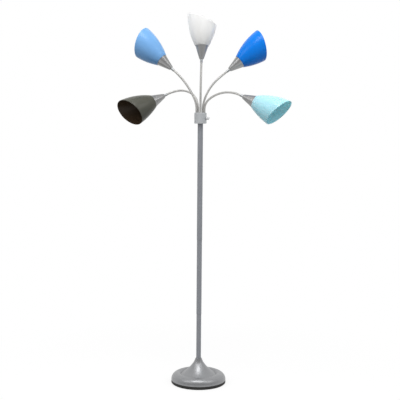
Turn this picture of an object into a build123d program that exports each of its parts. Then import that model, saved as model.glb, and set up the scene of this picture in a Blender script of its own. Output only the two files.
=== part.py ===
# Floor lamp with five bent goosenecks on one pole, each with a cone cup and an obliquely cut tulip shade.
# The origin is on the floor under the middle of the base, +Z is up and the front of the lamp faces -Y.
import os
from math import cos, isclose, radians, sin, sqrt

from build123d import *

os.makedirs("parts", exist_ok=True)

# Fits, each measured on the radius or across one gap
slip_fit = 0.05
thread_fit = 0.05
seat_gap = 0.3
ball_gap = 0.3

# Weighted base
base_radius = 126
pad_rim_height = 14.5
pad_rim_width = 8
pad_web = 3
pad_rounding = 3
cover_wall = 1.2
cover_edge_height = 2
crest_radius = 96.5
crest_height = 47.5
valley_radius = 82
valley_height = 40.5
flare_radius = 46.5
flare_height = 67
waist_radius = 24.5
waist_height = 93
collar_radius = 14.8
collar_height = 115
collar_rounding = 1
weight_clearance = 6
weight_top = 36
bolt_radius = 5
bolt_head_across = 17
bolt_head_height = 7
bolt_head_sunk = 4
bolt_pocket_radius = 13
bolt_grip = 10

# Cord inlet in the back of the base
inlet_height = 24
inlet_radius = 5
inlet_bore_radius = 3.4
inlet_flange_radius = 7
inlet_flange = 2
inlet_length = 14.5
channel_width = 9
pole_slot_radius = 4
pole_slot_rise = 8

# Pole of three tubes, each sleeved over the top of the one below
pole_radius = 11
pole_wall = 0.6
pole_plug = 12
first_joint_height = 322
second_joint_height = 668
pole_overlap = 45
bead_height = 4
bead_depth = 0.8
pole_through_hub = 10

# Hub at the top of the pole
hub_bottom = 1201
hub_height = 49
hub_radius = 27.85
hub_wall = 2.5
hub_floor = 4
hub_rounding = 2
cap_thickness = 4
cap_spigot = 3
hub_nut_corner_radius = 20
hub_nut_height = 8

# Rotary switch in the side of the hub
switch_bearing = -24
switch_can_radius = 9
switch_can_length = 14.5
switch_can_setback = 21.5
switch_shoulder_radius = 7
switch_bush_radius = 4.8
switch_shaft_radius = 3
switch_shaft_length = 9
switch_nut_corner_radius = 7
switch_nut_thickness = 2.5
switch_thread_shown = 0.7
spot_face_radius = 7.4
spot_face_depth = 0.85
knob_radius = 6.75
knob_length = 12.5
knob_chamfer = 1.6
knob_grips = 14
knob_grip_radius = 0.7

# Goosenecks, whose rest shape is a straight root, three bends and a straight tip
neck_ring_radius = 18.8
first_neck_bearing = 270
neck_radius = 5
neck_thread_radius = 4.2
root_thread_length = 14
tip_thread_length = 12
neck_nut_corner_radius = 5.8
neck_nut_height = 6
root_straight = 14
root_bend = 54
middle_bend = 108
tip_bend = 52
tip_straight = 16

# Ferrule on the tip of each neck
ferrule_radius = 6
ferrule_lip = 2

# Cup, lampholder and shade, with heights measured along the head from the foot of the cup
cup_foot_radius = 10
cup_mouth_radius = 28.8
cup_height = 60
cup_wall = 1.3
cup_floor = 3
cup_rounding = 2.2
holder_stem_radius = 8
holder_stem_height = 23
holder_flare_height = 8
holder_body_radius = 16
holder_flange_radius = 25
holder_flange = 3.5
holder_skirt_radius = 19.5
holder_skirt_height = 27
socket_radius = 13.3
socket_wall = 0.55
socket_depth = 24
socket_lip = 0.5
socket_floor_hole = 6
shade_foot_radius = 30.3
shade_mouth_radius = 69
shade_height = 150
shade_wall = 2
shade_runs = 5
shade_cut_height = 122
shade_cut_angle = 21.4
ring_radius = 24
ring_height = 8
ring_lugs = 8
ring_lug_length = 2
ring_lug_width = 5

# Rest pose of each arm: the bearing that it leans to, the turns of its three bends and the roll of its shade.
# The grey neck leaves backwards and comes round behind its neighbour, so its bends also twist.
arms = {
    "white": dict(bearing=84, turns=(0, 12.5, 0), roll=-89.5),
    "aqua": dict(bearing=-25, turns=(52.5, 42, 19), roll=-12),
    "royal": dict(bearing=12.5, turns=(20.5, 28, 4.5), roll=11.5),
    "grey": dict(bearing=122, turns=(40.5, 79.5, 26), roll=-4.5, twists=(58.5, 19)),
    "sky": dict(bearing=161.5, turns=(26, 16.5, 8.5), roll=-16.5),
}

# Heights and radii that follow from the sizes above
pad_rim_inside = base_radius - pad_rim_width
weight_radius = pad_rim_inside - weight_clearance
hub_top = hub_bottom + hub_height
hub_bore_radius = hub_radius - hub_wall
cap_bottom = hub_top - cap_thickness
spigot_bottom = cap_bottom - cap_spigot
hub_floor_top = hub_bottom + hub_floor
middle_tube_radius = pole_radius + slip_fit + pole_wall
upper_tube_radius = middle_tube_radius + slip_fit + pole_wall
neck_hole_radius = neck_thread_radius + thread_fit
shade_foot = cup_height + seat_gap


def save(piece, label):
    piece.part.label = label
    export_step(piece.part, f"parts/{label}.step")


def turned(outline, section=Plane.XZ):
    """A solid turned about the y direction of its section plane."""
    with BuildPart() as piece:
        with BuildSketch(section):
            with BuildLine():
                Polyline(*outline, close=True)
            make_face()
        revolve(axis=Axis(section.origin, section.y_dir))
    return piece


def rounded(piece, edge_radius, rounding):
    """The piece with its circular edges of one radius rounded."""
    with BuildPart() as soft:
        add(piece.part)
        circles = soft.edges().filter_by(GeomType.CIRCLE)
        fillet(circles.filter_by(lambda edge: isclose(edge.radius, edge_radius)), rounding)
    return soft


# Rubber pad under the base, with a raised rim that shows below the cover
base_pad = turned(
    [
        (0, 0),
        (base_radius - pad_rounding, 0),
        (base_radius, pad_rounding),
        (base_radius, pad_rim_height),
        (pad_rim_inside, pad_rim_height),
        (pad_rim_inside, pad_web),
        (0, pad_web),
    ]
)
save(base_pad, "base_pad")

# Cast weight on the pad, with a pocket below for the head of the bolt and a channel in its top for the cord
bolt_head_bottom = pad_web + bolt_head_sunk
pocket_top = bolt_head_bottom + bolt_head_height
bolt_hole_radius = bolt_radius + seat_gap
weight_blank = turned(
    [
        (bolt_hole_radius, pocket_top),
        (bolt_pocket_radius, pocket_top),
        (bolt_pocket_radius, pad_web),
        (weight_radius, pad_web),
        (weight_radius, weight_top),
        (bolt_hole_radius, weight_top),
    ]
)
channel_start = pole_radius + channel_width
with BuildPart() as base_weight:
    add(weight_blank.part)
    with BuildSketch(Plane.XY.offset(inlet_height - channel_width / 2)):
        with Locations((0, channel_start)):
            Rectangle(channel_width, weight_radius, align=(Align.CENTER, Align.MIN))
    extrude(amount=weight_top, mode=Mode.SUBTRACT)
save(base_weight, "base_weight")

# Hex bolt that clamps the weight to the foot of the pole
with BuildPart() as base_bolt:
    with BuildSketch(Plane.XY.offset(bolt_head_bottom)):
        RegularPolygon(bolt_head_across / 2, 6, major_radius=False)
    extrude(amount=bolt_head_height)
    with BuildSketch(Plane.XY.offset(pocket_top)):
        Circle(bolt_radius)
    extrude(amount=weight_top + bolt_grip - pocket_top)
save(base_bolt, "base_bolt")

# Spun cover: rolled shoulder, valley ring and a trumpet that rises to a collar round the pole
inlet_plane = Plane(origin=(0, weight_radius, inlet_height), x_dir=(1, 0, 0), z_dir=(0, 1, 0))
cover_edge_top = pad_rim_height + cover_edge_height
with BuildPart() as base_cover:
    for inset, mode in ((0, Mode.ADD), (cover_wall, Mode.SUBTRACT)):
        side = base_radius - inset
        valley = (valley_radius, valley_height - inset)
        collar = (collar_radius - inset, collar_height - inset)
        with BuildSketch(Plane.XZ):
            with BuildLine():
                Line((side, pad_rim_height), (side, cover_edge_top))
                shoulder_end = (crest_radius, crest_height - inset)
                shoulder = TangentArc((side, cover_edge_top), shoulder_end, tangent=(0, 1))
                TangentArc(shoulder_end, valley, tangent=shoulder % 1)
                flare = ThreePointArc(
                    valley,
                    (flare_radius - inset, flare_height - inset),
                    (waist_radius - inset, waist_height - inset),
                )
                TangentArc(flare @ 1, collar, tangent=flare % 1)
                Polyline(collar, (0, collar[1]), (0, pad_rim_height), (side, pad_rim_height))
            make_face()
        revolve(axis=Axis.Z, mode=mode)
    with BuildSketch(Plane.XY.offset(waist_height)):
        Circle(pole_radius + slip_fit)
    extrude(amount=collar_height, mode=Mode.SUBTRACT)
    top_circles = base_cover.edges().filter_by(GeomType.CIRCLE).group_by(Axis.Z)[-1]
    fillet(top_circles.sort_by(SortBy.RADIUS)[-1], collar_rounding)
    with BuildSketch(inlet_plane):
        Circle(inlet_radius + slip_fit)
    extrude(amount=base_radius, mode=Mode.SUBTRACT)
save(base_cover, "base_cover")

# Grommet of the cord inlet, held in the cover by its inner flange
grommet_section = Plane(origin=inlet_plane.origin, x_dir=(1, 0, 0), z_dir=(0, 0, 1))
cord_grommet = turned(
    [
        (inlet_bore_radius, seat_gap),
        (inlet_flange_radius, seat_gap),
        (inlet_flange_radius, seat_gap + inlet_flange),
        (inlet_radius, seat_gap + inlet_flange),
        (inlet_radius, inlet_length),
        (inlet_bore_radius, inlet_length),
    ],
    grommet_section,
)
save(cord_grommet, "cord_grommet")

# Lower tube with a plug in its foot for the bolt and a hole behind for the cord
lower_tube_top = first_joint_height + pole_overlap
tapped_radius = bolt_radius + thread_fit
lower_blank = turned(
    [
        (tapped_radius, weight_top),
        (pole_radius, weight_top),
        (pole_radius, lower_tube_top),
        (pole_radius - pole_wall, lower_tube_top),
        (pole_radius - pole_wall, weight_top + pole_plug),
        (tapped_radius, weight_top + pole_plug),
    ]
)
slot_height = weight_top + pole_plug + pole_slot_rise
with BuildPart() as pole_lower:
    add(lower_blank.part)
    with BuildSketch(Plane(origin=(0, 0, slot_height), x_dir=(1, 0, 0), z_dir=(0, 1, 0))):
        Circle(pole_slot_radius)
    extrude(amount=channel_start, mode=Mode.SUBTRACT)
save(pole_lower, "pole_lower")


def sleeve(radius, bottom, top, seat):
    """A tube with a rolled bead inside that stands on the end of the tube below, at the height of its seat."""
    bore = radius - pole_wall
    bead = bore - bead_depth
    return turned(
        [
            (bore, bottom),
            (radius, bottom),
            (radius, top),
            (bore, top),
            (bore, seat + bead_height),
            (bead, seat + bead_height / 2),
            (bead, seat),
            (bore, seat),
        ]
    )


# Middle and upper tubes
middle_tube_top = second_joint_height + pole_overlap
upper_tube_top = hub_floor_top + pole_through_hub
pole_middle = sleeve(middle_tube_radius, first_joint_height, middle_tube_top, lower_tube_top)
save(pole_middle, "pole_middle")
pole_upper = sleeve(upper_tube_radius, second_joint_height, upper_tube_top, middle_tube_top)
save(pole_upper, "pole_upper")

# Hub body: a cup with a hole in its floor for the pole and a spot face with a hole in its side for the switch
switch_out = Vector(cos(radians(switch_bearing)), sin(radians(switch_bearing)), 0)
switch_height = hub_bottom + hub_height / 2
switch_centre = Vector(0, 0, switch_height)
switch_across = Vector(0, 0, 1).cross(switch_out)
spot_face = hub_radius - spot_face_depth
hub_blank = turned(
    [
        (upper_tube_radius + slip_fit, hub_bottom),
        (hub_radius, hub_bottom),
        (hub_radius, cap_bottom),
        (hub_bore_radius, cap_bottom),
        (hub_bore_radius, hub_floor_top),
        (upper_tube_radius + slip_fit, hub_floor_top),
    ]
)
with BuildPart() as hub_body:
    add(hub_blank.part)
    hub_foot = hub_body.edges().filter_by(GeomType.CIRCLE).group_by(Axis.Z)[0]
    fillet(hub_foot.sort_by(SortBy.RADIUS)[-1], hub_rounding)
    with BuildSketch(Plane(switch_centre + switch_out * spot_face, switch_across, switch_out)):
        Circle(spot_face_radius)
    extrude(amount=hub_radius, mode=Mode.SUBTRACT)
    with BuildSketch(Plane(switch_centre, switch_across, switch_out)):
        Circle(switch_bush_radius + thread_fit)
    extrude(amount=hub_radius, mode=Mode.SUBTRACT)
save(hub_body, "hub_body")

# Hub cap with a spigot into the body and a ring of holes for the necks
with BuildPart() as hub_cap:
    with BuildSketch(Plane.XY.offset(spigot_bottom)):
        Circle(hub_bore_radius - slip_fit)
    extrude(amount=cap_spigot)
    with BuildSketch(Plane.XY.offset(cap_bottom)):
        Circle(hub_radius)
    extrude(amount=cap_thickness)
    fillet(hub_cap.edges().filter_by(GeomType.CIRCLE).group_by(Axis.Z)[-1], hub_rounding)
    with BuildSketch(Plane.XY.offset(spigot_bottom)):
        with PolarLocations(neck_ring_radius, len(arms), first_neck_bearing):
            Circle(neck_hole_radius)
    extrude(amount=cap_spigot + cap_thickness, mode=Mode.SUBTRACT)
save(hub_cap, "hub_cap")

# Nut that holds the hub to the end of the pole
with BuildPart() as hub_nut:
    with BuildSketch(Plane.XY.offset(hub_floor_top)):
        RegularPolygon(hub_nut_corner_radius, 6)
        Circle(upper_tube_radius + thread_fit, mode=Mode.SUBTRACT)
    extrude(amount=hub_nut_height)
save(hub_nut, "hub_nut")

# Nuts under the cap that hold the necks
with BuildPart() as neck_nuts:
    with BuildSketch(Plane.XY.offset(spigot_bottom - neck_nut_height)):
        with PolarLocations(neck_ring_radius, len(arms), first_neck_bearing):
            RegularPolygon(neck_nut_corner_radius, 6)
            Circle(neck_hole_radius, mode=Mode.SUBTRACT)
    extrude(amount=neck_nut_height)
save(neck_nuts, "neck_nuts")

# Switch: can, shoulder inside the wall, threaded bush through it and a round shaft
switch_section = Plane(switch_centre, switch_across, switch_across.cross(switch_out))
shoulder_front = sqrt(hub_bore_radius**2 - switch_shoulder_radius**2) - slip_fit
bush_front = spot_face + switch_nut_thickness + switch_thread_shown
shaft_front = bush_front + switch_shaft_length
can_back = switch_can_setback - switch_can_length
switch_body = turned(
    [
        (0, can_back),
        (switch_can_radius, can_back),
        (switch_can_radius, switch_can_setback),
        (switch_shoulder_radius, switch_can_setback),
        (switch_shoulder_radius, shoulder_front),
        (switch_bush_radius, shoulder_front),
        (switch_bush_radius, bush_front),
        (switch_shaft_radius, bush_front),
        (switch_shaft_radius, shaft_front),
        (0, shaft_front),
    ],
    switch_section,
)
save(switch_body, "switch_body")

# Hex nut on the spot face
with BuildPart() as switch_nut:
    with BuildSketch(Plane(switch_centre + switch_out * spot_face, switch_across, switch_out)):
        RegularPolygon(switch_nut_corner_radius, 6)
        Circle(switch_bush_radius + thread_fit, mode=Mode.SUBTRACT)
    extrude(amount=switch_nut_thickness)
save(switch_nut, "switch_nut")

# Knob on the shaft, with a chamfered face and flutes round its side
knob_back = bush_front + seat_gap
knob_front = knob_back + knob_length
knob_bore_radius = switch_shaft_radius + slip_fit
knob_bore_end = shaft_front + seat_gap
knob_blank = turned(
    [
        (knob_bore_radius, knob_back),
        (knob_radius, knob_back),
        (knob_radius, knob_front - knob_chamfer),
        (knob_radius - knob_chamfer, knob_front),
        (0, knob_front),
        (0, knob_bore_end),
        (knob_bore_radius, knob_bore_end),
    ],
    switch_section,
)
with BuildPart() as switch_knob:
    add(knob_blank.part)
    with BuildSketch(Plane(switch_centre + switch_out * knob_back, switch_across, switch_out)):
        with PolarLocations(knob_radius, knob_grips):
            Circle(knob_grip_radius)
    extrude(amount=knob_length, mode=Mode.SUBTRACT)
save(switch_knob, "switch_knob")


def bend(place, length, turn, twist=0):
    """The plane square to the neck at the end of one bend, from the plane at its start.

    z runs along the neck and x points the way that the neck leans, which the twist turns round the neck first.
    """
    lean = place.x_dir * cos(radians(twist)) + place.y_dir * sin(radians(twist))
    if turn == 0:
        return Plane(place.origin + place.z_dir * length, lean, place.z_dir)
    bend_radius = length / radians(turn)
    side_step = bend_radius * (1 - cos(radians(turn)))
    end = place.origin + lean * side_step + place.z_dir * (bend_radius * sin(radians(turn)))
    end_lean = lean * cos(radians(turn)) - place.z_dir * sin(radians(turn))
    return Plane(end, end_lean, place.z_dir * cos(radians(turn)) + lean * sin(radians(turn)))


class Arm:
    """The planes square to one neck along its rest shape, and the two directions of its head."""

    def __init__(self, index, bearing, turns, roll, twists=(0, 0)):
        around = radians(first_neck_bearing + index * 360 / len(arms))
        foot = Vector(neck_ring_radius * cos(around), neck_ring_radius * sin(around), hub_top)
        outward = Vector(cos(radians(bearing)), sin(radians(bearing)), 0)
        self.root = Plane(foot, outward, Vector(0, 0, 1))
        self.root_end = bend(self.root, root_straight, 0)
        self.lower_pivot = bend(self.root_end, root_bend, turns[0])
        self.upper_pivot = bend(self.lower_pivot, middle_bend, turns[1], twists[0])
        self.tip_start = bend(self.upper_pivot, tip_bend, turns[2], twists[1])
        self.neck_end = bend(self.tip_start, tip_straight - ferrule_lip, 0)
        self.tip = bend(self.tip_start, tip_straight, 0)
        self.along = self.tip.z_dir
        self.long_side = self.tip.x_dir * -cos(radians(roll)) - self.tip.y_dir * sin(radians(roll))

    def head_section(self):
        """The section plane of the head: x to the long side of the shade, y along the head."""
        return Plane(self.tip.origin, self.long_side, self.long_side.cross(self.along))

    def on_axis(self, height):
        return self.tip.origin + self.along * height


def neck_line(start, end):
    """The middle line of a neck between two planes square to it."""
    if start.z_dir == end.z_dir:
        return Line(start.origin, end.origin)
    return TangentArc(start.origin, end.origin, tangent=start.z_dir)


def ball(place):
    """A half ball on the end of a span, which the next span turns on."""
    section = Plane(place.origin, place.x_dir, -place.y_dir)
    with BuildPart() as half:
        with BuildSketch(section):
            with BuildLine():
                ThreePointArc(
                    (neck_radius, 0),
                    (neck_radius * cos(radians(45)), neck_radius * sin(radians(45))),
                    (0, neck_radius),
                )
                Polyline((0, neck_radius), (0, 0), (neck_radius, 0))
            make_face()
        revolve(axis=Axis(section.origin, section.y_dir))
    return half


def socket(place):
    """The hollow that a span has round the ball of the span before it."""
    with BuildPart() as hollow:
        with Locations(place.origin):
            Sphere(neck_radius + ball_gap)
    return hollow


def build_neck(arm, name):
    """The three spans of one gooseneck, from the hub to the cup."""
    root_ball = ball(arm.lower_pivot)
    with BuildPart() as root:
        with BuildLine() as line:
            neck_line(arm.root, arm.root_end)
            neck_line(arm.root_end, arm.lower_pivot)
        with BuildSketch(arm.root):
            Circle(neck_radius)
        sweep(path=line.line)
        with BuildSketch(arm.root):
            Circle(neck_thread_radius)
        extrude(amount=-root_thread_length)
        add(root_ball.part)
    save(root, f"neck_root_{name}")

    middle_ball = ball(arm.upper_pivot)
    lower_socket = socket(arm.lower_pivot)
    with BuildPart() as middle:
        with BuildLine() as line:
            neck_line(arm.lower_pivot, arm.upper_pivot)
        with BuildSketch(arm.lower_pivot):
            Circle(neck_radius)
        sweep(path=line.line)
        add(middle_ball.part)
        add(lower_socket.part, mode=Mode.SUBTRACT)
    save(middle, f"neck_middle_{name}")

    upper_socket = socket(arm.upper_pivot)
    with BuildPart() as tip:
        with BuildLine() as line:
            neck_line(arm.upper_pivot, arm.tip_start)
            neck_line(arm.tip_start, arm.neck_end)
        with BuildSketch(arm.upper_pivot):
            Circle(neck_radius)
        sweep(path=line.line)
        with BuildSketch(arm.neck_end):
            Circle(neck_thread_radius)
        extrude(amount=ferrule_lip + tip_thread_length)
        add(upper_socket.part, mode=Mode.SUBTRACT)
    save(tip, f"neck_tip_{name}")


def shade_radius(height):
    """The arc of the shade's side, upright at the top of its long side."""
    rise, spread = shade_height, shade_mouth_radius - shade_foot_radius
    side_radius = (rise**2 + spread**2) / (2 * spread)
    return shade_mouth_radius - side_radius + sqrt(side_radius**2 - (rise - height) ** 2)


def build_head(arm, name):
    """Ferrule, cup, lampholder, screw shell, shade and shade ring of one head."""
    section = arm.head_section()
    ferrule = turned(
        [
            (neck_radius + slip_fit, -tip_straight),
            (ferrule_radius, -tip_straight),
            (ferrule_radius, 0),
            (neck_hole_radius, 0),
            (neck_hole_radius, -ferrule_lip),
            (neck_radius + slip_fit, -ferrule_lip),
        ],
        section,
    )
    save(ferrule, f"ferrule_{name}")

    cup_slope = (cup_mouth_radius - cup_foot_radius) / cup_height
    cup = turned(
        [
            (neck_hole_radius, 0),
            (cup_foot_radius, 0),
            (cup_mouth_radius, cup_height),
            (cup_mouth_radius - cup_wall, cup_height),
            (cup_foot_radius + cup_slope * cup_floor - cup_wall, cup_floor),
            (neck_hole_radius, cup_floor),
        ],
        section,
    )
    save(rounded(cup, cup_foot_radius, cup_rounding), f"cup_{name}")

    holder_top = shade_foot + holder_skirt_height
    stem_top = cup_floor + holder_stem_height
    flange_bottom = shade_foot - holder_flange
    socket_bore_radius = socket_radius + socket_wall + slip_fit
    socket_floor = holder_top - socket_depth
    thread_end = tip_thread_length + seat_gap
    lampholder = turned(
        [
            (0, thread_end),
            (neck_hole_radius, thread_end),
            (neck_hole_radius, cup_floor),
            (holder_stem_radius, cup_floor),
            (holder_stem_radius, stem_top),
            (holder_body_radius, stem_top + holder_flare_height),
            (holder_body_radius, flange_bottom),
            (holder_flange_radius, flange_bottom),
            (holder_flange_radius, shade_foot),
            (holder_skirt_radius, shade_foot),
            (holder_skirt_radius, holder_top),
            (socket_bore_radius, holder_top),
            (socket_bore_radius, socket_floor),
            (0, socket_floor),
        ],
        section,
    )
    save(lampholder, f"lampholder_{name}")

    shell_outside = socket_radius + socket_wall
    shell_top = holder_top - socket_lip
    screw_shell = turned(
        [
            (socket_floor_hole, socket_floor),
            (shell_outside, socket_floor),
            (shell_outside, shell_top),
            (socket_radius, shell_top),
            (socket_radius, socket_floor + socket_wall),
            (socket_floor_hole, socket_floor + socket_wall),
        ],
        section,
    )
    save(screw_shell, f"screw_shell_{name}")

    steps = [shade_height * run / shade_runs for run in range(shade_runs + 1)]
    outside = [(shade_radius(step), shade_foot + step) for step in steps]
    inside = [(shade_radius(step) - shade_wall, shade_foot + max(step, shade_wall)) for step in steps]
    skirt_hole = holder_skirt_radius + 2 * slip_fit
    floor = [(skirt_hole, shade_foot + shade_wall), (skirt_hole, shade_foot)]
    whole_shade = turned([*outside, *reversed(inside), *floor], section)
    mouth_normal = arm.along * cos(radians(shade_cut_angle)) - arm.long_side * sin(radians(shade_cut_angle))
    mouth = Plane(arm.on_axis(shade_foot + shade_cut_height), z_dir=mouth_normal)
    with BuildPart() as shade:
        add(whole_shade.part)
        split(bisect_by=mouth, keep=Keep.BOTTOM)
    save(shade, f"shade_{name}")

    ring_foot = Plane(arm.on_axis(shade_foot + shade_wall), arm.long_side, arm.along)
    with BuildPart() as shade_ring:
        with BuildSketch(ring_foot):
            Circle(ring_radius)
            with PolarLocations(ring_radius, ring_lugs):
                Rectangle(2 * ring_lug_length, ring_lug_width)
            Circle(holder_skirt_radius + thread_fit, mode=Mode.SUBTRACT)
        extrude(amount=ring_height)
    save(shade_ring, f"shade_ring_{name}")


for index, (name, pose) in enumerate(arms.items()):
    arm = Arm(index, **pose)
    build_neck(arm, name)
    build_head(arm, name)
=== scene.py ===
from math import cos, pi, radians, sin, sqrt, tan

import bpy
import numpy as np
from mathutils import Matrix, Vector


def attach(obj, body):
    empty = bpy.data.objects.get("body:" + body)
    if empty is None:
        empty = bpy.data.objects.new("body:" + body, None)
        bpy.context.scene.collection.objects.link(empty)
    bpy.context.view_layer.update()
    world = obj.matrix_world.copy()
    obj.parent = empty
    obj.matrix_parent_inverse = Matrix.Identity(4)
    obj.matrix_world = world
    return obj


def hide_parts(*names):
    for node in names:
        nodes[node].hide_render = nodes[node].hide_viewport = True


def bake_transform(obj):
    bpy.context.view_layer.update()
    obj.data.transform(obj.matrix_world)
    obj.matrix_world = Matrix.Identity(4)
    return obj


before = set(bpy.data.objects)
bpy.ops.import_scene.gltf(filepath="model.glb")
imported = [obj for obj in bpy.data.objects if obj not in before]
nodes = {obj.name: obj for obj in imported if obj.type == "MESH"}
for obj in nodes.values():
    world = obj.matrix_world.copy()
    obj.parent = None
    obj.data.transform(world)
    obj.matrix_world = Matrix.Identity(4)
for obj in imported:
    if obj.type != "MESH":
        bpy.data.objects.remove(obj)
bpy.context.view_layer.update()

scene = bpy.context.scene
armNames = ("white", "aqua", "royal", "grey", "sky")
mmPerMetre = 1000
almostNone = 1e-9  # lengths in mm and turns in degrees below this count as none
mixA, mixB, mixOut = 6, 7, 2  # the colour sockets of a Mix node
pureWhite = (1.0, 1.0, 1.0, 1.0)
print("frame loaded,", len(nodes), "nodes")


def hexColour(text):
    # sRGB hex to the linear colour that the shaders take
    parts = [int(text[i:i + 2], 16) / 255 for i in (1, 3, 5)]
    linear = [c / 12.92 if c <= 0.04045 else ((c + 0.055) / 1.055) ** 2.4 for c in parts]
    return (*linear, 1.0)


def addNode(tree, kind, inputs=None, **settings):
    # one node with its settings, its values and its links
    node = tree.nodes.new(kind)
    for name, value in settings.items():
        setattr(node, name, value)
    for name, value in (inputs or {}).items():
        if isinstance(value, bpy.types.NodeSocket):
            tree.links.new(value, node.inputs[name])
        else:
            node.inputs[name].default_value = value
    return node


def perMetre(millimetres):
    # pattern scale for features of a real size, as object coordinates are in metres
    return mmPerMetre / millimetres


def newFinish(name, **values):
    # a Principled material with its plain values set, and the coordinates for its patterns
    material = bpy.data.materials.new(name)
    material.use_nodes = True
    tree = material.node_tree
    shader = tree.nodes["Principled BSDF"]
    for socket, value in values.items():
        shader.inputs[socket.replace("_", " ")].default_value = value
    place = addNode(tree, "ShaderNodeTexCoord").outputs["Object"]
    return material, tree, shader, place


def dress(names, material):
    # gives CAD nodes their finish, with their mesh and shading left as packed
    for name in names:
        mesh = nodes[name].data
        mesh.materials.clear()
        mesh.materials.append(material)


def ringAngles(count):
    # equal steps once round
    return np.arange(count) * 2 * pi / count


# Rest shape of the arms, the same sizes as the solids, in millimetres and degrees
neckSizes = dict(hubTop=1250, ringRadius=18.8, firstBearing=270, straight=14, bends=(54, 108, 52),
                 tip=16)
armShapes = {
    "white": dict(bearing=84, turns=(0, 12.5, 0), roll=-89.5),
    "aqua": dict(bearing=-25, turns=(52.5, 42, 19), roll=-12),
    "royal": dict(bearing=12.5, turns=(20.5, 28, 4.5), roll=11.5),
    "grey": dict(bearing=122, turns=(40.5, 79.5, 26), twists=(58.5, 19), roll=-4.5),
    "sky": dict(bearing=161.5, turns=(26, 16.5, 8.5), roll=-16.5),
}


def bentOn(place, length, turn, twist):
    # the frame (origin, lean, along, spin) at the end of one bend
    origin, lean, along, spin = place
    side = np.cross(along, lean)
    lean = lean * cos(radians(twist)) + side * sin(radians(twist))
    spin = spin + radians(twist)
    if abs(turn) < almostNone:
        return origin + along * length, lean, along, spin
    bendRadius = length / radians(turn)
    rise, step = sin(radians(turn)), 1 - cos(radians(turn))
    return (
        origin + bendRadius * (lean * step + along * rise),
        lean * (1 - step) - along * rise,
        along * (1 - step) + lean * rise,
        spin,
    )


class ArmLine:
    # the middle line of one neck and the directions of its head
    def __init__(self, index, bearing, turns, roll, twists=(0, 0)):
        around = radians(neckSizes["firstBearing"] + 360 / len(armNames) * index)
        ring = neckSizes["ringRadius"]
        foot = np.array([ring * cos(around), ring * sin(around), neckSizes["hubTop"]], float)
        outward = np.array([cos(radians(bearing)), sin(radians(bearing)), 0.0])
        bends = neckSizes["bends"]
        # length, turn and twist of each span from the hub to the head
        self.spans = [
            (neckSizes["straight"], 0, 0),
            (bends[0], turns[0], 0),
            (bends[1], turns[1], twists[0]),
            (bends[2], turns[2], twists[1]),
            (neckSizes["tip"], 0, 0),
        ]
        self.start = (foot, outward, np.array([0.0, 0.0, 1.0]), 0.0)
        length = sum(span[0] for span in self.spans)
        self.tip, lean, self.along, _ = self.at(length)
        side = np.cross(self.along, lean)
        self.longSide = -lean * cos(radians(roll)) - side * sin(radians(roll))
        self.across = np.cross(self.along, self.longSide)

    def at(self, distance):
        # the frame at a distance along the neck
        place = self.start
        for length, turn, twist in self.spans:
            share = min(1.0, distance / length)
            place = bentOn(place, length * share, turn * share, twist)
            distance -= length
            if distance <= almostNone:
                break
        return place

    def headPoint(self, height, radius, angle):
        # a point of the head from its height along the head and its place round it
        outward = self.longSide * cos(angle) + self.across * sin(angle)
        return self.tip + self.along * height + outward * radius


arms = {name: ArmLine(index, **armShapes[name]) for index, name in enumerate(armNames)}
print("arm lines set")


def skin(name, rows, material, marks=None, closeRows=False):
    # a smooth mesh through rows of points in mm that each run round, with marks for the material
    rows = np.asarray(rows, float) / mmPerMetre
    count, around = rows.shape[:2]
    faces = []
    for i in range(count if closeRows else count - 1):
        j = (i + 1) % count
        for k in range(around):
            n = (k + 1) % around
            faces.append((i * around + k, i * around + n, j * around + n, j * around + k))
    ends = []
    if not closeRows:
        # flat lids close a skin whose rows run from end to end
        ends = [tuple(range(around))[::-1], tuple(range((count - 1) * around, count * around))]
    mesh = bpy.data.meshes.new(name)
    mesh.from_pydata(rows.reshape(-1, 3).tolist(), [], faces + ends)
    mesh.polygons.foreach_set("use_smooth", [True] * len(faces) + [False] * len(ends))
    for key, values in (marks or {}).items():
        layer = mesh.attributes.new(key, "FLOAT", "POINT")
        layer.data.foreach_set("value", np.asarray(values, np.float32).ravel())
    mesh.materials.append(material)
    mesh.update()
    piece = bpy.data.objects.new(name, mesh)
    scene.collection.objects.link(piece)
    return piece


# In the finishes, a pair of roughness values is the spread that a pattern gives, pattern sizes
# are in millimetres, and pattern heights are in metres.

# Nickel-plated steel strip wound into a hose: bright crowns, and the darker lines between the
# turns are painted shade in the grooves
neckFinish = dict(crown="#bfbebc", grooveShade="#a7a6a3", metallic=0.8, roughness=(0.45, 0.58),
                  smudge=14.0)


def woundSteel():
    material, tree, shader, _ = newFinish("wound nickel steel", Metallic=neckFinish["metallic"])
    # the darker groove colour is painted shade between the turns
    grooveShade = addNode(tree, "ShaderNodeAttribute", attribute_name="grooveShade").outputs["Fac"]
    tones = {mixA: hexColour(neckFinish["crown"]), mixB: hexColour(neckFinish["grooveShade"])}
    colour = addNode(tree, "ShaderNodeMix", {0: grooveShade, **tones}, data_type="RGBA")
    tree.links.new(colour.outputs[mixOut], shader.inputs["Base Color"])
    along = addNode(tree, "ShaderNodeAttribute", attribute_name="along").outputs["Fac"]
    smudge = addNode(tree, "ShaderNodeTexNoise",
                     {"W": along, "Scale": perMetre(neckFinish["smudge"])}, noise_dimensions="1D")
    low, high = neckFinish["roughness"]
    rough = addNode(tree, "ShaderNodeMapRange",
                    {"Value": smudge.outputs["Fac"], "To Min": low, "To Max": high})
    tree.links.new(rough.outputs["Result"], shader.inputs["Roughness"])
    return material


# Gooseneck hoses: two skins for each neck that share a cut in the middle span
neckHose = dict(pitch=2.8, crownRadius=4.98, grooveDepth=0.14, rowsPerTurn=6, around=24,
                cutAt=122, lowerZone=(26, 110), upperZone=(134, 218), end=242)


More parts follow.
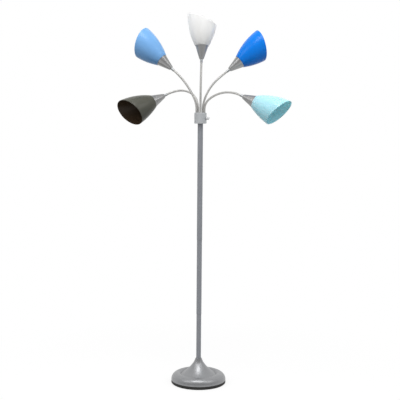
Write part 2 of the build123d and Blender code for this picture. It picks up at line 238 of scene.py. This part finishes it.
def neckSkin(name, arm, start, end, material):
    step = neckHose["pitch"] / neckHose["rowsPerTurn"]
    distances = np.linspace(start, end, int(round((end - start) / step)) + 1)
    angles = ringAngles(neckHose["around"])
    rows, grooveShades, alongs = [], [], []
    for distance in distances:
        origin, lean, along, spin = arm.at(distance)
        side = np.cross(along, lean)
        crown = np.sin(pi * (distance / neckHose["pitch"] - angles / (2 * pi))) ** 2
        radius = neckHose["crownRadius"] - neckHose["grooveDepth"] * (1 - crown)
        turned = angles - spin
        outward = np.cos(turned)[:, None] * lean + np.sin(turned)[:, None] * side
        rows.append(origin + radius[:, None] * outward)
        # share of painted shade, strongest in the groove between the turns
        grooveShades.append((1 - crown) ** 2)
        alongs.append(np.full(len(angles), distance / mmPerMetre))
    return skin(name, rows, material, {"grooveShade": grooveShades, "along": alongs})


hoseSteel = woundSteel()
for name, arm in arms.items():
    zones = (*neckHose["lowerZone"], *neckHose["upperZone"])
    spots = [Vector(arm.at(distance)[0] / mmPerMetre) for distance in zones]
    lower = neckSkin(f"neck_hose_lower_{name}", arm, 0, neckHose["cutAt"], hoseSteel)
    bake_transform(lower)
    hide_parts(f"neck_root_{name}", f"neck_middle_{name}")
    upper = neckSkin(f"neck_hose_upper_{name}", arm, neckHose["cutAt"], neckHose["end"], hoseSteel)
    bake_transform(upper)
    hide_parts(f"neck_tip_{name}")
print("goosenecks wound")

# Injection-moulded polypropylene: even colour and a soft sheen. The inside colour is painted
# light: painted shade inside the bell for the strong colours and a painted glow for the aqua.
# Milk lets some light through the wall of the pale ones: milkDepth, in metres, times reach is how
# far red, green and blue go in it.
shadeColours = {
    "white": dict(outside="#efefed", insideShading="#efefed", milk=1.0),
    "aqua": dict(outside="#aee6fa", insideShading="#b2ecff", milk=0.6, reach=(0.8, 1.0, 1.0)),
    "royal": dict(outside="#0077dd", insideShading="#0050b0"),
    "grey": dict(outside="#53534b", insideShading="#423528"),
    "sky": dict(outside="#76aae0", insideShading="#5a8ac8", milk=0.1),
}
shadePlastic = dict(roughness=(0.235, 0.27), specular=0.2, ior=1.49, milkDepth=0.008, cloud=45.0,
                    cloudShift=(0.965, 1.03), grain=1.6, grainDetail=3.0, grainHeight=0.000004,
                    grainStrength=0.6)


def mouldedPlastic(name, outside, insideShading, milk=0.0, reach=(1.0, 1.0, 1.0)):
    material, tree, shader, place = newFinish(
        f"moulded polypropylene {name}", IOR=shadePlastic["ior"],
        Specular_IOR_Level=shadePlastic["specular"], Subsurface_Weight=milk,
        Subsurface_Radius=reach, Subsurface_Scale=shadePlastic["milkDepth"])
    # the inside colour is painted light: painted shade in the strong colours, a painted glow in
    # the aqua
    within = addNode(tree, "ShaderNodeAttribute", attribute_name="insideShading").outputs["Fac"]
    tones = {mixA: hexColour(outside), mixB: hexColour(insideShading)}
    tone = addNode(tree, "ShaderNodeMix", {0: within, **tones}, data_type="RGBA")
    cloud = addNode(tree, "ShaderNodeTexNoise",
                    {"Vector": place, "Scale": perMetre(shadePlastic["cloud"])}).outputs["Fac"]
    darker, paler = shadePlastic["cloudShift"]
    shift = addNode(tree, "ShaderNodeMapRange",
                    {"Value": cloud, "To Min": darker, "To Max": paler})
    colour = addNode(tree, "ShaderNodeHueSaturation",
                     {"Color": tone.outputs[mixOut], "Value": shift.outputs["Result"]})
    tree.links.new(colour.outputs["Color"], shader.inputs["Base Color"])
    # moulded grain of about 0.3 mm, drawn coarser so that it shows
    grain = addNode(tree, "ShaderNodeTexNoise",
                    {"Vector": place, "Scale": perMetre(shadePlastic["grain"]),
                     "Detail": shadePlastic["grainDetail"]})
    bump = addNode(tree, "ShaderNodeBump",
                   {"Height": grain.outputs["Fac"], "Distance": shadePlastic["grainHeight"],
                    "Strength": shadePlastic["grainStrength"]})
    tree.links.new(bump.outputs["Normal"], shader.inputs["Normal"])
    low, high = shadePlastic["roughness"]
    rough = addNode(tree, "ShaderNodeMapRange", {"Value": cloud, "To Min": low, "To Max": high})
    tree.links.new(rough.outputs["Result"], shader.inputs["Roughness"])
    return material


# Tulip shades with a rounded rim along the slanting mouth
shadeShape = dict(foot=60.3, footRadius=30.3, mouthRadius=69.0, height=150.0, wall=2.0,
                  cutHeight=122.0, cutAngle=21.4, hole=19.6, sideRows=34, rimRows=7, around=112,
                  footRounding=0.6, mouthRounds=20)


def shadeRadius(height):
    # outside radius of the bell at a height above its foot
    rise, spread = shadeShape["height"], shadeShape["mouthRadius"] - shadeShape["footRadius"]
    sideRadius = (rise ** 2 + spread ** 2) / (2 * spread)
    below = rise - min(height, rise)
    return shadeShape["mouthRadius"] - sideRadius + sqrt(sideRadius ** 2 - below ** 2)


def mouthHeight(angle):
    # height of the slanting mouth above the foot on one side of the shade, where height and
    # radius depend on each other and settle in a few rounds
    slope = tan(radians(shadeShape["cutAngle"]))
    height = shadeShape["cutHeight"]
    for _ in range(shadeShape["mouthRounds"]):
        height = shadeShape["cutHeight"] + slope * shadeRadius(height) * cos(angle)
    return height


def shadeSkin(name, arm, material):
    foot, wall, rounding = shadeShape["foot"], shadeShape["wall"], shadeShape["footRounding"]
    edge = wall / 2
    columns, insideShading = [], []
    for angle in ringAngles(shadeShape["around"]):
        top = mouthHeight(angle)
        # radius, height and share of the painted inside shading, from the hole up the outside,
        # over the rim and back
        column = [(shadeShape["hole"], 0.0, 0.0), (shadeRadius(0) - rounding, 0.0, 0.0)]
        for share in np.linspace(0, 1, shadeShape["sideRows"]):
            height = rounding + (top - edge - rounding) * share
            column.append((shadeRadius(height), height, 0.0))
        for turn in np.linspace(0, pi, shadeShape["rimRows"] + 2)[1:-1]:
            radius = shadeRadius(top - edge) - edge + edge * cos(turn)
            column.append((radius, top - edge + edge * sin(turn), 0.5 - 0.5 * cos(turn)))
        for share in np.linspace(1, 0, shadeShape["sideRows"]):
            height = wall + (top - edge - wall) * share
            column.append((shadeRadius(height) - wall, height, 1.0))
        column.append((shadeShape["hole"], wall, 1.0))
        columns.append([arm.headPoint(foot + height, radius, angle)
                        for radius, height, _ in column])
        insideShading.append([mark for _, _, mark in column])
    rows = np.swapaxes(np.array(columns), 0, 1)
    marks = np.swapaxes(np.array(insideShading), 0, 1)
    return skin(f"shade_bell_{name}", rows, material, {"insideShading": marks}, closeRows=True)


for name, arm in arms.items():
    bell = shadeSkin(name, arm, mouldedPlastic(name, **shadeColours[name]))
    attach(bell, f"{name}_head")
    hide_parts(f"shade_{name}")
print("shades moulded")

# Nickel-plated brass shells with a rolled screw thread: warm, bright and a little tarnished
shellFinish = dict(colour="#cfc7b0", roughness=0.3, tarnish="#8f8770", tarnishSize=6.0)
shellShape = dict(floor=63.3, top=86.8, wall=0.55, radius=13.45, threadDepth=0.3, pitch=3.6,
                  runOut=1.5, outside=13.85, hole=6.0, around=64, rows=52)


def rolledBrass():
    material, tree, shader, place = newFinish("nickelled brass", Metallic=1.0,
                                              Roughness=shellFinish["roughness"])
    stain = addNode(tree, "ShaderNodeTexNoise",
                    {"Vector": place, "Scale": perMetre(shellFinish["tarnishSize"])})
    tones = {mixA: hexColour(shellFinish["colour"]), mixB: hexColour(shellFinish["tarnish"])}
    colour = addNode(tree, "ShaderNodeMix", {0: stain.outputs["Fac"], **tones}, data_type="RGBA")
    tree.links.new(colour.outputs[mixOut], shader.inputs["Base Color"])
    return material


def shellSkin(name, arm, material):
    angles = ringAngles(shellShape["around"])
    floor, top, wall = shellShape["floor"], shellShape["top"], shellShape["wall"]
    hole, outside, runOut = shellShape["hole"], shellShape["outside"], shellShape["runOut"]
    # radius, height and share of the thread, which fades out at both ends
    profile = [(hole, floor, 0), (outside, floor, 0), (outside, top, 0)]
    for height in np.linspace(top, floor + wall, shellShape["rows"]):
        ease = min(1.0, (top - height) / runOut, (height - floor - wall) / runOut)
        profile.append((shellShape["radius"], height, max(0.0, ease)))
    profile.append((hole, floor + wall, 0))
    rows = []
    for radius, height, ease in profile:
        winding = np.sin(2 * pi * height / shellShape["pitch"] - angles)
        wave = ease * shellShape["threadDepth"] * winding
        rows.append([arm.headPoint(height, radius + push, angle)
                     for push, angle in zip(wave, angles)])
    return skin(f"socket_thread_{name}", rows, material, closeRows=True)


shellBrass = rolledBrass()
for name, arm in arms.items():
    shell = shellSkin(name, arm, shellBrass)
    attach(shell, f"{name}_head")
    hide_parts(f"screw_shell_{name}")
print("screw shells rolled")

# Spun steel under satin nickel: fine rings round the cone and a soft streaked shine
cupFinish = dict(colour="#9e9e9e", roughness=(0.28, 0.42), metallic=0.9, ring=1.1, ringDetail=3.0,
                 ringHeight=0.000004, ringStrength=0.5)


def spunNickel(arm, name):
    material, tree, shader, place = newFinish(
        f"spun satin nickel {name}", Metallic=cupFinish["metallic"],
        Base_Color=hexColour(cupFinish["colour"]))
    height = addNode(tree, "ShaderNodeVectorMath", {0: place, 1: tuple(arm.along)},
                     operation="DOT_PRODUCT")
    # spinning marks are a few tenths of a millimetre apart, drawn coarser so that they show
    rings = addNode(tree, "ShaderNodeTexNoise",
                    {"W": height.outputs["Value"], "Scale": perMetre(cupFinish["ring"]),
                     "Detail": cupFinish["ringDetail"]}, noise_dimensions="1D").outputs["Fac"]
    low, high = cupFinish["roughness"]
    rough = addNode(tree, "ShaderNodeMapRange", {"Value": rings, "To Min": low, "To Max": high})
    tree.links.new(rough.outputs["Result"], shader.inputs["Roughness"])
    bump = addNode(tree, "ShaderNodeBump",
                   {"Height": rings, "Distance": cupFinish["ringHeight"],
                    "Strength": cupFinish["ringStrength"]})
    tree.links.new(bump.outputs["Normal"], shader.inputs["Normal"])
    return material


for name, arm in arms.items():
    dress([f"cup_{name}"], spunNickel(arm, name))

# Aluminium-flake lacquer sprayed on steel: a grey body with a fine sparkle and a satin shine.
# The tubes have the bluer and duller coat.
lacquers = {
    "base": dict(dark="#8a8b8d", light="#9e9fa1", metallic=0.75, roughness=(0.31, 0.42)),
    "tube": dict(dark="#85888e", light="#999ca2", metallic=0.1, roughness=(0.37, 0.48)),
}
lacquerGrain = dict(flake=0.9, flakeSpread=(0.3, 0.7), peel=9.0, peelHeight=0.00002,
                    peelStrength=0.25, detail=2.0)


def flakeLacquer(name, dark, light, metallic, roughness):
    material, tree, shader, place = newFinish(f"aluminium flake lacquer {name}", Metallic=metallic)
    # flakes are about 0.05 mm, drawn coarser so that they show
    flake = addNode(tree, "ShaderNodeTexNoise",
                    {"Vector": place, "Scale": perMetre(lacquerGrain["flake"]),
                     "Detail": lacquerGrain["detail"]})
    few, most = lacquerGrain["flakeSpread"]
    sparkle = addNode(tree, "ShaderNodeMapRange",
                      {"Value": flake.outputs["Fac"], "From Min": few, "From Max": most})
    tones = {mixA: hexColour(dark), mixB: hexColour(light)}
    colour = addNode(tree, "ShaderNodeMix", {0: sparkle.outputs["Result"], **tones},
                     data_type="RGBA")
    tree.links.new(colour.outputs[mixOut], shader.inputs["Base Color"])
    peel = addNode(tree, "ShaderNodeTexNoise",
                   {"Vector": place, "Scale": perMetre(lacquerGrain["peel"]),
                    "Detail": lacquerGrain["detail"]}).outputs["Fac"]
    bump = addNode(tree, "ShaderNodeBump",
                   {"Height": peel, "Distance": lacquerGrain["peelHeight"],
                    "Strength": lacquerGrain["peelStrength"]})
    tree.links.new(bump.outputs["Normal"], shader.inputs["Normal"])
    low, high = roughness
    rough = addNode(tree, "ShaderNodeMapRange", {"Value": peel, "To Min": low, "To Max": high})
    tree.links.new(rough.outputs["Result"], shader.inputs["Roughness"])
    return material


dress(["base_cover"], flakeLacquer("base", **lacquers["base"]))
dress(["pole_lower", "pole_middle", "pole_upper"], flakeLacquer("tube", **lacquers["tube"]))

# Powder coat baked on the hub: pebbled, low shine, with painted shade in the pits between the
# pebbles
hubFinish = dict(dark="#abaeb1", light="#c7cacc", roughness=0.5, metallic=0.3, pebble=1.4,
                 pebbleHeight=0.0001, pebbleStrength=0.4)


def powderCoat():
    material, tree, shader, place = newFinish(
        "silver powder coat", Metallic=hubFinish["metallic"], Roughness=hubFinish["roughness"])
    pebble = addNode(tree, "ShaderNodeTexVoronoi",
                     {"Vector": place, "Scale": perMetre(hubFinish["pebble"])},
                     feature="SMOOTH_F1").outputs["Distance"]
    # the colour darkens towards the pits of the bump: painted shade
    tones = {mixA: hexColour(hubFinish["light"]), mixB: hexColour(hubFinish["dark"])}
    colour = addNode(tree, "ShaderNodeMix", {0: pebble, **tones}, data_type="RGBA")
    tree.links.new(colour.outputs[mixOut], shader.inputs["Base Color"])
    bump = addNode(tree, "ShaderNodeBump",
                   {"Height": pebble, "Distance": hubFinish["pebbleHeight"],
                    "Strength": hubFinish["pebbleStrength"]}, invert=True)
    tree.links.new(bump.outputs["Normal"], shader.inputs["Normal"])
    return material


dress(["hub_body", "hub_cap"], powderCoat())

# Satin chromium plate on the ferrules and the switch nut: a soft shine with faint wipe marks
chromeFinish = dict(colour="#989a9b", roughness=(0.23, 0.36), wipe=3.0, wipeDetail=4.0)


def chromePlate():
    material, tree, shader, place = newFinish("chromium plate", Metallic=1.0,
                                              Base_Color=hexColour(chromeFinish["colour"]))
    wipe = addNode(tree, "ShaderNodeTexNoise",
                   {"Vector": place, "Scale": perMetre(chromeFinish["wipe"]),
                    "Detail": chromeFinish["wipeDetail"]})
    low, high = chromeFinish["roughness"]
    rough = addNode(tree, "ShaderNodeMapRange",
                    {"Value": wipe.outputs["Fac"], "To Min": low, "To Max": high})
    tree.links.new(rough.outputs["Result"], shader.inputs["Roughness"])
    return material


dress([f"ferrule_{name}" for name in armNames] + ["switch_nut"], chromePlate())

# Plain moulded, cast and plated finishes, each with the speckle and the grain of its making
plainFinishes = {
    # pressed: dense and half glossy
    "black phenolic": dict(dark="#161514", light="#262423", roughness=0.42, speck=0.8,
                           height=0.00003),
    # moulded: dull, with a soft tooth
    "black rubber": dict(dark="#1d1d1c", light="#2d2c2b", roughness=0.75, speck=1.2,
                         height=0.00012),
    # moulded: even, with a low sheen
    "black vinyl": dict(dark="#181818", light="#242424", roughness=0.55, speck=1.0,
                        height=0.00004),
    # poured: pale, dry and gritty
    "cast cement": dict(dark="#7b7872", light="#a09d96", roughness=0.9, speck=3.0, height=0.0004),
    # plated: bright, with a mottled grey shine
    "zinc plated steel": dict(dark="#8e8f8c", light="#b4b5b0", roughness=0.35, speck=2.0,
                              height=0.00002, metallic=1.0),
    # drawn: dark grey, with a dull shine
    "switch can steel": dict(dark="#4c4c4c", light="#626262", roughness=0.45, speck=1.5,
                             height=0.00002, metallic=0.6),
}
plainGrain = dict(detail=4.0, strength=0.5)


def speckled(name, dark, light, roughness, speck, height, metallic=0.0):
    material, tree, shader, place = newFinish(name, Metallic=metallic, Roughness=roughness)
    grit = addNode(tree, "ShaderNodeTexNoise",
                   {"Vector": place, "Scale": perMetre(speck),
                    "Detail": plainGrain["detail"]}).outputs["Fac"]
    tones = {mixA: hexColour(dark), mixB: hexColour(light)}
    colour = addNode(tree, "ShaderNodeMix", {0: grit, **tones}, data_type="RGBA")
    tree.links.new(colour.outputs[mixOut], shader.inputs["Base Color"])
    bump = addNode(tree, "ShaderNodeBump",
                   {"Height": grit, "Distance": height, "Strength": plainGrain["strength"]})
    tree.links.new(bump.outputs["Normal"], shader.inputs["Normal"])
    return material


plain = {name: speckled(name, **values) for name, values in plainFinishes.items()}
dress([f"lampholder_{name}" for name in armNames], plain["black phenolic"])
dress([f"shade_ring_{name}" for name in armNames], plain["black phenolic"])
dress(["base_pad"], plain["black rubber"])
dress(["cord_grommet"], plain["black vinyl"])
dress(["base_weight"], plain["cast cement"])
dress(["base_bolt", "hub_nut", "neck_nuts"], plain["zinc plated steel"])
dress(["switch_body"], plain["switch can steel"])

# Clear acrylic knob: pale, glossy and a little cloudy
knobFinish = dict(colour="#f4f5f6", roughness=(0.07, 0.2), ior=1.49, transmission=0.2, haze=2.0)


def clearAcrylic():
    material, tree, shader, place = newFinish(
        "clear acrylic", IOR=knobFinish["ior"], Transmission_Weight=knobFinish["transmission"],
        Base_Color=hexColour(knobFinish["colour"]))
    haze = addNode(tree, "ShaderNodeTexNoise",
                   {"Vector": place, "Scale": perMetre(knobFinish["haze"])})
    low, high = knobFinish["roughness"]
    rough = addNode(tree, "ShaderNodeMapRange",
                    {"Value": haze.outputs["Fac"], "To Min": low, "To Max": high})
    tree.links.new(rough.outputs["Result"], shader.inputs["Roughness"])
    return material


dress(["switch_knob"], clearAcrylic())
print("finishes applied")

# Pale studio: a white paper floor that keeps the lamp's shadow and a white surround.
# The soft boxes stand high in front and above, so the undersides stay darker.
studio = dict(
    floorReach=9.0,
    paper="#f7f7f7",
    bounce="#8e8e8e",  # what the floor throws back on the lamp
    shadowZone=(0.35, 1.3),  # metres from the middle of the base
    shadowGlow=(0.8, 1.0),  # share of plain white in the floor, near and far
    backdrop=1.0,  # white where it is seen or mirrored
    turnZone=(-0.6, 0.4),  # where the front of the surround goes over to the back
    frontAmbient=0.68,
    backAmbient=0.72,
    frontMirror=0.45,
    aim=(0.0, 0.0, 1.1),
    lamps={
        "over": dict(place=(-0.1, -1.5, 3.9), size=(2.0, 1.4), power=57),
        "left": dict(place=(-2.6, -1.6, 3.2), size=(2.0, 1.6), power=19),
        "right": dict(place=(2.6, -1.6, 3.2), size=(2.0, 1.6), power=19),
    },
)


def flatCard(name, reach, material):
    # a square studio sheet on the ground that isn't part of the lamp
    corners = [(-reach, -reach, 0), (reach, -reach, 0), (reach, reach, 0), (-reach, reach, 0)]
    mesh = bpy.data.meshes.new(name)
    mesh.from_pydata(corners, [], [(0, 1, 2, 3)])
    mesh.materials.append(material)
    card = bpy.data.objects.new(name, mesh)
    scene.collection.objects.link(card)


def backdropRays(tree):
    # 1 where the camera or clear plastic shows the backdrop, and 1 where a mirror shows it
    ray = addNode(tree, "ShaderNodeLightPath").outputs
    direct = {0: ray["Is Camera Ray"], 1: ray["Is Transmission Ray"]}
    seen = addNode(tree, "ShaderNodeMath", direct, operation="MAXIMUM")
    return seen.outputs[0], ray["Is Glossy Ray"]


def paperSweep():
    material = bpy.data.materials.new("white paper sweep")
    material.use_nodes = True
    tree = material.node_tree
    tree.nodes.remove(tree.nodes["Principled BSDF"])
    paper = addNode(tree, "ShaderNodeBsdfDiffuse", {"Color": hexColour(studio["paper"])})
    bounce = addNode(tree, "ShaderNodeBsdfDiffuse", {"Color": hexColour(studio["bounce"])})
    glow = addNode(tree, "ShaderNodeEmission",
                   {"Color": pureWhite, "Strength": studio["backdrop"]})
    spot = addNode(tree, "ShaderNodeTexCoord").outputs["Object"]
    away = addNode(tree, "ShaderNodeVectorMath", {0: spot}, operation="LENGTH")
    near, far = studio["shadowZone"]
    nearGlow, farGlow = studio["shadowGlow"]
    share = addNode(tree, "ShaderNodeMapRange",
                    {"Value": away.outputs["Value"], "From Min": near, "From Max": far,
                     "To Min": nearGlow, "To Max": farGlow})
    lit = addNode(tree, "ShaderNodeMixShader",
                  {0: share.outputs["Result"], 1: paper.outputs[0], 2: glow.outputs[0]})
    direct, mirror = backdropRays(tree)
    shown = addNode(tree, "ShaderNodeMath", {0: direct, 1: mirror}, operation="MAXIMUM")
    mixed = addNode(tree, "ShaderNodeMixShader",
                    {0: shown.outputs[0], 1: bounce.outputs[0], 2: lit.outputs[0]})
    tree.links.new(mixed.outputs[0], tree.nodes["Material Output"].inputs["Surface"])
    return material


flatCard("studio_floor", studio["floorReach"], paperSweep())

world = bpy.data.worlds.new("white surround")
scene.world = world
world.use_nodes = True
surround = world.node_tree
background = surround.nodes["Background"]
# mirrors show the backdrop behind the lamp as white and the room in front of it dimmer
outwards = addNode(surround, "ShaderNodeTexCoord").outputs["Generated"]
facing = addNode(surround, "ShaderNodeSeparateXYZ", {0: outwards}).outputs["Y"]
front, back = studio["turnZone"]
behind = {"Value": facing, "From Min": front, "From Max": back}
ambient = addNode(surround, "ShaderNodeMapRange",
                  {**behind, "To Min": studio["frontAmbient"], "To Max": studio["backAmbient"]})
mirrored = addNode(surround, "ShaderNodeMapRange",
                   {**behind, "To Min": studio["frontMirror"], "To Max": studio["backdrop"]})
direct, mirror = backdropRays(surround)
unseen = addNode(surround, "ShaderNodeMapRange",
                 {"Value": mirror, "To Min": ambient.outputs["Result"],
                  "To Max": mirrored.outputs["Result"]})
level = addNode(surround, "ShaderNodeMapRange",
                {"Value": direct, "To Min": unseen.outputs["Result"],
                 "To Max": studio["backdrop"]})
surround.links.new(level.outputs["Result"], background.inputs["Strength"])
background.inputs["Color"].default_value = pureWhite

for name, values in studio["lamps"].items():
    light = bpy.data.lights.new(f"soft_box_{name}", "AREA")
    light.shape = "RECTANGLE"
    light.size, light.size_y = values["size"]
    light.energy = values["power"]
    lamp = bpy.data.objects.new(f"soft_box_{name}", light)
    lamp.location = values["place"]
    towards = Vector(studio["aim"]) - lamp.location
    lamp.rotation_euler = towards.to_track_quat("-Z", "Y").to_euler()
    scene.collection.objects.link(lamp)

# Camera at the photograph's height and angle, for a square picture of 400 pixels
shot = dict(place=(0.0, -3.941, 1.2008), down=5.05, roll=0.449, sensor=36, focalPixels=864,
            pixels=400, shift=0.00055)
cameraData = bpy.data.cameras.new("camera")
cameraData.sensor_width = shot["sensor"]
cameraData.sensor_fit = "HORIZONTAL"
cameraData.lens = shot["focalPixels"] / shot["pixels"] * shot["sensor"]
cameraData.shift_x = shot["shift"]
camera = bpy.data.objects.new("camera", cameraData)
tilt = Matrix.Rotation(radians(90 - shot["down"]), 4, "X")
roll = Matrix.Rotation(radians(shot["roll"]), 4, "Z")
camera.matrix_world = Matrix.Translation(shot["place"]) @ tilt @ roll
scene.collection.objects.link(camera)
scene.camera = camera
scene.view_settings.view_transform = "Standard"
print("studio ready")
